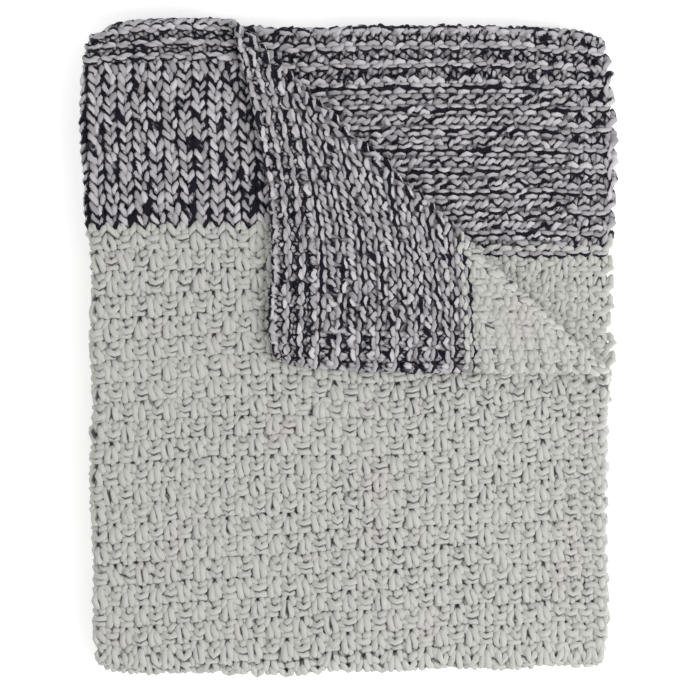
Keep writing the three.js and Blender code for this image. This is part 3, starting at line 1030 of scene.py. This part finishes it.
def keep_value(tree, geometry, name, value, kind="FLOAT"):
    inputs = {"Geometry": geometry, "Name": name, "Value": value}
    return add_node(tree, "GeometryNodeStoreNamedAttribute", inputs, data_type=kind).outputs["Geometry"]


@functools.lru_cache(maxsize=1)
def yarn_tree():
    """Turns a mesh of edges into round yarn along them."""
    tree, given = new_group(
        "Yarn along strands",
        "GeometryNodeTree",
        [
            ("Strands", "Geometry", None),
            ("Sides", "Int", FINE_SIDES),
            ("Plumpness", "Float", 1.0),
            ("Wool", "Material", None),
        ],
        [("Yarn", "Geometry")],
    )
    thickness = kept_value(tree, "thickness")
    outward, onward = (kept_value(tree, name, "FLOAT_VECTOR") for name in ("outward", "onward"))
    line = add_node(tree, "GeometryNodeMeshToCurve", {"Mesh": given["Strands"]})
    ring = add_node(tree, "GeometryNodeCurvePrimitiveCircle", {"Resolution": given["Sides"], "Radius": 1.0})
    spot = tree.nodes.new("GeometryNodeInputPosition").outputs["Position"]
    tube = add_node(
        tree,
        "GeometryNodeCurveToMesh",
        {
            "Curve": line.outputs["Curve"],
            "Profile Curve": keep_value(tree, ring.outputs["Curve"], "ring", spot, "FLOAT_VECTOR"),
            "Scale": calculate(tree, "MULTIPLY", thickness, given["Plumpness"]),
            "Fill Caps": True,
        },
    )
    # Which way the yarn's surface faces, as (outward, onward, sideways) in the cloth
    normal = tree.nodes.new("GeometryNodeInputNormal").outputs["Normal"]
    ways = (outward, onward, combine(tree, "CROSS_PRODUCT", outward, onward))
    shares = [combine(tree, "DOT_PRODUCT", normal, way) for way in ways]
    facing = add_node(tree, "ShaderNodeCombineXYZ", enumerate(shares)).outputs["Vector"]
    turned = keep_value(tree, tube.outputs["Mesh"], "facing", facing, "FLOAT_VECTOR")
    rise = calculate(tree, "MULTIPLY_ADD", shares[0], thickness, kept_value(tree, "off"))
    level = keep_value(tree, turned, "level", rise)
    smooth = add_node(tree, "GeometryNodeSetShadeSmooth", {"Geometry": level})
    real = add_node(tree, "GeometryNodeRealizeInstances", {"Geometry": smooth.outputs["Geometry"]})
    inputs = {"Geometry": real.outputs["Geometry"], "Material": given["Wool"]}
    finished = add_node(tree, "GeometryNodeSetMaterial", inputs)
    add_node(tree, "NodeGroupOutput", {"Yarn": finished.outputs["Geometry"]})
    return tree


def spin_yarn(name, mesh, sides, wool):
    """The finished piece of yarn: the tree's result as a plain mesh."""
    source = add_object(name + "_strands", mesh)
    modifier = source.modifiers.new("Yarn", "NODES")
    modifier.node_group = yarn_tree()
    entries = modifier.node_group.interface.items_tree
    sockets = {entry.name: entry.identifier for entry in entries if entry.in_out == "INPUT"}
    modifier[sockets["Sides"]] = sides
    modifier[sockets["Wool"]] = wool
    bpy.context.view_layer.update()
    graph = bpy.context.evaluated_depsgraph_get()
    made = bpy.data.meshes.new_from_object(source.evaluated_get(graph), depsgraph=graph)
    made.name = name
    bpy.data.objects.remove(source)
    bpy.data.meshes.remove(mesh)
    return add_object(name, made)


# ---------------------------------------------------------------- materials

WOOL_LOOKS = {"Roughness": 0.95, "Specular IOR Level": 0.1, "Sheen Weight": 0.06, "Sheen Roughness": 0.6}
# How much fibres are drawn out along the yarn, and how far they are shifted from row to row
FIBRE_STRETCH = 0.12
FIBRE_SHIFT = 7.3
# Between which values a mask comes in: fibres' tone, painted crease shade, painted light in grooves, blush,
# runs, patches, and flecks that carry painted shade as well
FIBRE_TONE = (0.35, 0.65)
CREASE_SHADE = (0.4, 0.95)
FILLED = (0.6, 1.0)
BLUSH = (0.58, 0.8)
RUNS = (0.3, 0.7)
PATCHES = (0.56, 0.74)
FLECKS_AND_CREASE_SHADE = (0.9, 1.1)


def toned(colour, factor):
    return tuple(factor * value for value in colour)


def read(tree, name, output="Fac"):
    """What the yarn or the backing keeps for each point under a name, in a shader tree."""
    return add_node(tree, "ShaderNodeAttribute", attribute_name=name).outputs[output]


def ramp(tree, value, low, high):
    """0 below low, 1 above high, and a smooth rise between them."""
    inputs = {"Value": value, "From Min": low, "From Max": high}
    return add_node(tree, "ShaderNodeMapRange", inputs, interpolation_type="SMOOTHSTEP").outputs["Result"]


def noise(tree, where, scale, detail=2.0, roughness=0.5, **settings):
    inputs = {**where, "Scale": scale, "Detail": detail, "Roughness": roughness}
    return add_node(tree, "ShaderNodeTexNoise", inputs, **settings).outputs["Fac"]


def space_noise(tree, scale, detail, roughness=0.5):
    """Noise that is the same in all pieces where they meet."""
    where = tree.nodes.new("ShaderNodeTexCoord").outputs["Object"]
    return noise(tree, {"Vector": where}, scale, detail, roughness)


def weighted_sum(tree, start, terms):
    """start + the sum of value times weight."""
    total = start
    for value, weight in terms:
        total = calculate(tree, "MULTIPLY_ADD", value, weight, total)
    return total


def run_noise(tree, row_shift, scale, detail=2.0):
    """Noise in runs along the yarn, different in each row."""
    spot = weighted_sum(tree, read(tree, "along"), [(read(tree, "row"), row_shift)])
    return noise(tree, {"W": spot}, scale, detail, noise_dimensions="1D")


def mix_colour(tree, factor, *colours, blend="MIX"):
    """A mix of two colours, each given as a socket or as (red, green, blue)."""
    first, second = (
        colour if isinstance(colour, bpy.types.NodeSocket) else (*colour, 1.0) for colour in colours
    )
    inputs = {0: factor, 6: first, 7: second}
    return add_node(tree, "ShaderNodeMix", inputs, data_type="RGBA", blend_type=blend).outputs[2]


@functools.lru_cache(maxsize=1)
def fibre_group():
    """Fibres that run along the yarn and turn with its twist: their height and their tone."""
    tree, given = new_group(
        "Wool fibres",
        "ShaderNodeTree",
        [("Twist length", "Float", 30.0), ("Fineness", "Float", 3.0)],
        [("Height", "Float"), ("Tone", "Float")],
    )
    along = read(tree, "along")
    angle = calculate(tree, "MULTIPLY", calculate(tree, "DIVIDE", along, given["Twist length"]), 2 * math.pi)
    inputs = {"Vector": read(tree, "ring", "Vector"), "Angle": angle}
    turned = add_node(tree, "ShaderNodeVectorRotate", inputs, rotation_type="Z_AXIS")
    parts = add_node(tree, "ShaderNodeSeparateXYZ", {0: turned.outputs[0]}).outputs
    stretched = calculate(tree, "MULTIPLY", along, FIBRE_STRETCH)
    shifted = calculate(tree, "MULTIPLY", read(tree, "row"), FIBRE_SHIFT)
    far = calculate(tree, "ADD", stretched, shifted)
    spot = add_node(tree, "ShaderNodeCombineXYZ", {0: parts[0], 1: parts[1], 2: far}).outputs[0]
    fibres = noise(tree, {"Vector": spot}, scale=given["Fineness"], detail=3.0, roughness=0.6)
    fleece = noise(tree, {"Vector": spot}, scale=0.35)
    add_node(tree, "NodeGroupOutput", {"Height": fibres, "Tone": fleece})
    return tree


@functools.lru_cache(maxsize=1)
def shade_group():
    """Light between the loops, and how far a place lies towards its strand's crease, sides and partner."""
    outputs = ("Light", "Crease", "Groove", "Apart")
    tree, given = new_group(
        "Light between loops",
        "ShaderNodeTree",
        [("Deep", "Float", 0.0), ("Open", "Float", 0.0024), ("Seam", "Float", 0.9), ("Valley", "Float", 0.8)],
        [(name, "Float") for name in outputs],
    )
    # Painted shade where the yarn lies deep in the cloth, lifted near the rim and where a strand keeps its
    # light
    height = calculate(tree, "ABSOLUTE", read(tree, "level"))
    open_light = ramp(tree, height, given["Deep"], given["Open"])
    unit = combine(tree, "NORMALIZE", read(tree, "facing", "Vector"))
    outward = add_node(tree, "ShaderNodeSeparateXYZ", {0: unit}).outputs[0]
    rest = calculate(tree, "SUBTRACT", 1.0, calculate(tree, "MULTIPLY", outward, outward), use_clamp=True)
    groove = calculate(tree, "SQRT", rest)
    crease = combine(tree, "DOT_PRODUCT", unit, read(tree, "crease", "Vector"))
    apart = calculate(tree, "MULTIPLY", crease, read(tree, "pair"))
    # Painted shade in the creases
    loss = calculate(tree, "MULTIPLY", ramp(tree, crease, *CREASE_SHADE), given["Seam"])
    shown = calculate(tree, "MULTIPLY", read(tree, "valley"), given["Valley"])
    least = calculate(tree, "MAXIMUM", calculate(tree, "MAXIMUM", open_light, read(tree, "rim")), shown)
    light = calculate(tree, "MULTIPLY", least, calculate(tree, "SUBTRACT", 1.0, loss))
    add_node(tree, "NodeGroupOutput", zip(outputs, (light, crease, groove, apart)))
    return tree


@functools.lru_cache(maxsize=1)
def fleck_and_crease_shade_group():
    """Where the dark strand shows: between pairs of rows and in patches, and in the creases and grooves,
    where its darkness is partly painted shade.
    """
    tree, given = new_group(
        "Dark strand and crease shade",
        "ShaderNodeTree",
        [
            ("Crease", "Float", 0.0),
            ("Groove", "Float", 0.0),
            ("Apart", "Float", 0.0),
            ("Fibres", "Float", 0.5),
            ("Amount", "Float", 0.0),
        ],
        [("Dark", "Float")],
    )
    patch = ramp(tree, run_noise(tree, row_shift=977.0, scale=0.013), *PATCHES)
    total = weighted_sum(
        tree,
        given["Amount"],
        [
            # Creases and grooves: the dark strand, and painted shade in its colour
            (given["Crease"], 0.78),
            (given["Groove"], 0.28),
            (given["Apart"], 0.17),
            (run_noise(tree, row_shift=977.0, scale=0.04, detail=1.0), 1.1),
            (given["Fibres"], 0.8),
            (patch, 0.42),
        ],
    )
    add_node(tree, "NodeGroupOutput", {"Dark": ramp(tree, total, *FLECKS_AND_CREASE_SHADE)})
    return tree


def new_material(name, looks):
    """A new material, its tree and its shader, whose looks are set."""
    material = bpy.data.materials.new(name)
    material.use_nodes = True
    tree = material.node_tree
    shader = tree.nodes["Principled BSDF"]
    set_inputs(tree, shader, looks)
    return material, tree, shader


def bump(tree, strength, distance, height):
    inputs = {"Strength": strength, "Distance": distance, "Height": height}
    return add_node(tree, "ShaderNodeBump", inputs).outputs["Normal"]


def yarn_material(name, wool, twist_length, shading=()):
    """A material of wool with the bumps of its fibres and of the fluff on them, and its groups' outputs."""
    material, tree, shader = new_material(name, WOOL_LOOKS)
    twist = {"Twist length": twist_length, "Fineness": 3.2}
    fibres = add_node(tree, "ShaderNodeGroup", twist, node_tree=fibre_group()).outputs
    shade = add_node(tree, "ShaderNodeGroup", shading, node_tree=shade_group()).outputs
    fluff = space_noise(tree, scale=900.0, detail=3.0, roughness=0.65)
    inputs = {"Factor": 0.45, 2: fibres["Height"], 3: fluff}
    height = add_node(tree, "ShaderNodeMix", inputs, data_type="FLOAT").outputs[0]
    set_inputs(tree, shader, {"Normal": bump(tree, wool.fuzz, distance=0.0009, height=height)})
    return material, tree, shader, fibres, shade


def cream_wool(wool):
    """Undyed wool with a blush in places, with painted shade where it lies deep between the loops and in its
    deep creases, and painted light in its grooves.
    """
    material, tree, shader, fibres, shade = yarn_material("cream wool", wool, 34.0)
    cream = tuple(wool.cream)
    # A softer tone for the fibres, a brighter copy for painted light in the grooves, and a near black for
    # painted shade
    soft, bright, deep = (toned(cream, factor) for factor in (0.93, 1.2, 0.06))
    rosy = (cream[0], 0.94 * cream[1], 0.96 * cream[2])
    tone = mix_colour(tree, ramp(tree, fibres["Tone"], *FIBRE_TONE), soft, cream)
    cloud = space_noise(tree, scale=26.0, detail=1.0)
    tinted = mix_colour(tree, ramp(tree, cloud, *BLUSH), tone, rosy)
    # Light that the wool passes on fills the grooves between two strands, apart from the deep creases
    filled = calculate(tree, "MULTIPLY", ramp(tree, shade["Groove"], *FILLED), shade["Light"])
    passed = mix_colour(tree, filled, tinted, bright)
    # Painted shade: down towards near black where the yarn lies deep or in a crease
    set_inputs(tree, shader, {"Base Color": mix_colour(tree, shade["Light"], deep, passed)})
    return material


def marl_wool(wool):
    """Pale wool with a dark strand laid along it. Painted shade in the dark strand's colour darkens it where
    it lies deep, and its creases are darker both from the strand and from painted shade.
    """
    shading = {"Deep": 0.0013, "Open": 0.0037, "Seam": 0.75, "Valley": 0.75}
    material, tree, shader, fibres, shade = yarn_material("flecked wool", wool, 28.0, shading)
    dark = tuple(wool.marl_dark)
    greyer, whiter = toned(wool.marl_light, 0.72), toned(wool.marl_light, 1.22)
    inputs = {name: shade[name] for name in ("Crease", "Groove", "Apart")}
    inputs |= {"Fibres": fibres["Height"], "Amount": wool.dark_amount}
    fleck_and_shade = add_node(tree, "ShaderNodeGroup", inputs, node_tree=fleck_and_crease_shade_group()).outputs
    run = run_noise(tree, row_shift=613.0, scale=0.03, detail=1.0)
    drawn = mix_colour(tree, ramp(tree, run, *RUNS), greyer, whiter)
    dulled = mix_colour(tree, 1.0, drawn, (0.9, 0.9, 0.9), blend="MULTIPLY")
    pale = mix_colour(tree, ramp(tree, fibres["Tone"], *FIBRE_TONE), dulled, drawn)
    # Painted shade, in the dark strand's colour, where the yarn lies deep between the loops or in a crease
    shaded = mix_colour(tree, shade["Light"], dark, pale)
    # The dark strand, which also stands for painted shade in the creases and grooves
    set_inputs(tree, shader, {"Base Color": mix_colour(tree, fleck_and_shade["Dark"], shaded, dark)})
    return material


def painted_shade_backing_material(wool):
    """Painted shade for the inside of the knitting seen between the loops: shaded cream, and near black under
    the flecked band, where the dark strand's colour adds to it.
    """
    material, tree, shader = new_material("painted shade inside the knitting", WOOL_LOOKS)
    lint = space_noise(tree, scale=300.0, detail=3.0)
    # Shaded tones of the cream, varied by lint: painted shade
    deep, light = toned(wool.cream, 0.28), toned(wool.cream, 0.42)
    tone = mix_colour(tree, ramp(tree, lint, *FIBRE_TONE), deep, light)
    colour = mix_colour(tree, read(tree, "flecked"), tone, toned(wool.marl_dark, 2.0))
    set_inputs(tree, shader, {"Base Color": colour, "Normal": bump(tree, 0.4, distance=0.001, height=lint)})
    return material


def paper_material():
    looks = {
        "Roughness": 0.9,
        "Specular IOR Level": 0.1,
        "Emission Color": (1, 1, 1, 1),
        "Emission Strength": FLOOR_GLOW,
    }
    material, tree, shader = new_material("pale paper", looks)
    paper = mix_colour(tree, noise(tree, {}, scale=40.0), (0.93, 0.93, 0.93), (0.95, 0.95, 0.95))
    set_inputs(tree, shader, {"Base Color": paper})
    return material


# ---------------------------------------------------------------- the pieces


def fit_piece(piece):
    """Every piece of the cloth rides on the blanket's body and stands for its solid."""
    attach(piece, BODY)
    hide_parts(NODE)


def fold_lines(half, arc):
    """Grid lines across the cloth from -half to half, closer together round the fold in the middle."""
    flat = np.linspace(arc, half, round((half - arc) / BACKING_CELL) + 1)
    bent = np.linspace(-arc, arc, BACKING_FOLD_LINES)
    return np.concatenate([-flat[::-1], bent[1:-1], flat])


def make_backing(wool):
    """The sheet between the two faces of each layer, away from the face that shows."""
    half_width, half_length = HALF_WIDTH - BACKING_INSET, HALF_LENGTH - BACKING_INSET
    across, up = np.meshgrid(fold_lines(half_width, SIDE_ARC), fold_lines(half_length, END_ARC))
    turned = smoothstep(past_fold(np.abs(across), up), *BACKING_TURNS)
    middle = BACKING_SINK * (2 * turned - 1)
    faces = [place(across, up, middle + side * BACKING_THICKNESS / 2).reshape(-1, 3) for side in (1, -1)]
    points = np.concatenate(faces)
    points[:, 2] = np.maximum(points[:, 2], BACKING_CLEARANCE)
    index = np.arange(across.size).reshape(across.shape)
    upper = np.stack([index[:-1, :-1], index[:-1, 1:], index[1:, 1:], index[1:, :-1]], -1).reshape(-1, 4)
    lower = upper[:, ::-1] + across.size
    rim = np.concatenate([index[0, :], index[1:, -1], index[-1, -2::-1], index[-2:0:-1, 0]])
    following = np.roll(rim, -1)
    around = np.stack([rim, rim + across.size, following + across.size, following], -1)
    mesh = bpy.data.meshes.new("backing")
    mesh.from_pydata(points.tolist(), [], np.concatenate([upper, lower, around]).tolist())
    swung = up + np.where(across > 0, corner_swing(np.abs(across), HALF_LENGTH - up), 0)
    band_end = HALF_LENGTH - MARL_DEPTH
    flecked = smoothstep(swung, band_end - BACKING_EDGE, band_end + BACKING_EDGE).ravel()
    add_attribute(mesh, "flecked", np.tile(flecked, 2))
    mesh.shade_smooth()
    mesh.materials.append(painted_shade_backing_material(wool))
    return add_object("backing", mesh)


def make_yarn(context, kind):
    """Makes the pieces of one kind of yarn."""
    knitting = fetch_knitting(context)
    piece_of = sort_stitches()
    material = (marl_wool if kind == "marl" else cream_wool)(context.scene.blanket_wool)
    for name, yarn, fine in PIECES:
        if yarn == kind:
            mesh = strand_mesh(name, strands_of(name, fine, knitting, piece_of))
            fit_piece(spin_yarn(name, mesh, FINE_SIDES if fine else COARSE_SIDES, material))


class BLANKET_OT_backing(bpy.types.Operator):
    """Make the thin sheet inside the knitting, dark with painted shade"""

    bl_idname = "blanket.backing"
    bl_label = "Inside of the knitting"

    def execute(self, context):
        fit_piece(make_backing(context.scene.blanket_wool))
        return {"FINISHED"}


class BLANKET_OT_marl_yarn(bpy.types.Operator):
    """Knit the flecked band and its garter border"""

    bl_idname = "blanket.marl_yarn"
    bl_label = "Flecked yarn"

    def execute(self, context):
        make_yarn(context, "marl")
        return {"FINISHED"}


class BLANKET_OT_cream_yarn(bpy.types.Operator):
    """Knit the cream moss stitch and its borders"""

    bl_idname = "blanket.cream_yarn"
    bl_label = "Cream yarn"

    def execute(self, context):
        make_yarn(context, "cream")
        return {"FINISHED"}


class BLANKET_OT_declare(bpy.types.Operator):
    """Do nothing; the knitting is not declared as a sheet of cloth here"""

    bl_idname = "blanket.declare"
    bl_label = "Declare the cloth"

    def execute(self, context):
        return {"FINISHED"}


# ---------------------------------------------------------------- the stage


def make_floor():
    mesh = bpy.data.meshes.new("floor")
    corners = [(x * FLOOR_HALF, y * FLOOR_HALF, 0) for x, y in ((-1, -1), (1, -1), (1, 1), (-1, 1))]
    mesh.from_pydata(corners, [], [(0, 1, 2, 3)])
    mesh.materials.append(paper_material())
    floor = add_object("floor", mesh)


def make_camera(stage, middle):
    """A camera that looks straight down, its lens long enough for the width in view."""
    data = bpy.data.cameras.new("camera")
    data.sensor_width = CAMERA_SENSOR
    data.lens = CAMERA_SENSOR * stage.camera_height / stage.view_width
    data.clip_end = CAMERA_REACH
    camera = add_object("camera", data)
    camera.location = middle + Vector(stage.aim_shift)
    camera.location.z = CAD_BOX[1].z + stage.camera_height
    bpy.context.scene.camera = camera


def make_key_light(stage, middle):
    data = bpy.data.lights.new("key", "AREA")
    data.energy = stage.key_power
    data.size = KEY_SIZE
    light = add_object("key", data)
    light.location = middle + Vector(KEY_PLACE)
    light.rotation_euler = (middle - light.location).to_track_quat("-Z", "Y").to_euler()


def make_daylight(stage):
    world = bpy.data.worlds.new("soft daylight")
    world.use_nodes = True
    light = world.node_tree.nodes["Background"]
    set_inputs(world.node_tree, light, {"Color": (1, 1, 1, 1), "Strength": stage.fill})
    bpy.context.scene.world = world
    bpy.context.scene.view_settings.view_transform = "Standard"


class BLANKET_OT_stage(bpy.types.Operator):
    """Set the floor, the soft light and the camera straight above the blanket"""

    bl_idname = "blanket.stage"
    bl_label = "Stage"

    def execute(self, context):
        stage = context.scene.blanket_stage
        middle = (CAD_BOX[0] + CAD_BOX[1]) / 2
        make_floor()
        make_camera(stage, middle)
        make_key_light(stage, middle)
        make_daylight(stage)
        return {"FINISHED"}


# ---------------------------------------------------------------- the add-on


class BLANKET_PT_panel(bpy.types.Panel):
    """Lists the blanket's sizes and its steps"""

    bl_label = "Blanket"
    bl_idname = "BLANKET_PT_panel"
    bl_space_type = "VIEW_3D"
    bl_region_type = "UI"
    bl_category = "Blanket"

    def draw(self, context):
        layout = self.layout
        for name, _ in GROUPS:
            group = getattr(context.scene, name)
            box = layout.box()
            for label in group.__annotations__:
                box.prop(group, label)
        for operator in STEPS:
            layout.operator(operator.bl_idname)


STEPS = (
    BLANKET_OT_stage,
    BLANKET_OT_backing,
    BLANKET_OT_marl_yarn,
    BLANKET_OT_cream_yarn,
    BLANKET_OT_declare,
)
GROUPS = (("blanket_knit", KnitSettings), ("blanket_wool", WoolSettings), ("blanket_stage", StageSettings))
CLASSES = tuple(kind for _, kind in GROUPS) + STEPS + (BLANKET_PT_panel,)


def register():
    for kind in CLASSES:
        bpy.utils.register_class(kind)
    for name, kind in GROUPS:
        setattr(bpy.types.Scene, name, bpy.props.PointerProperty(type=kind))


def unregister():
    for name, _ in GROUPS:
        delattr(bpy.types.Scene, name)
    for kind in reversed(CLASSES):
        bpy.utils.unregister_class(kind)


def main():
    register()
    bpy.ops.blanket.stage()
    bpy.ops.blanket.backing()
    bpy.ops.blanket.marl_yarn()
    bpy.ops.blanket.cream_yarn()
    bpy.ops.blanket.declare()


if __name__ == "__main__":
    main()
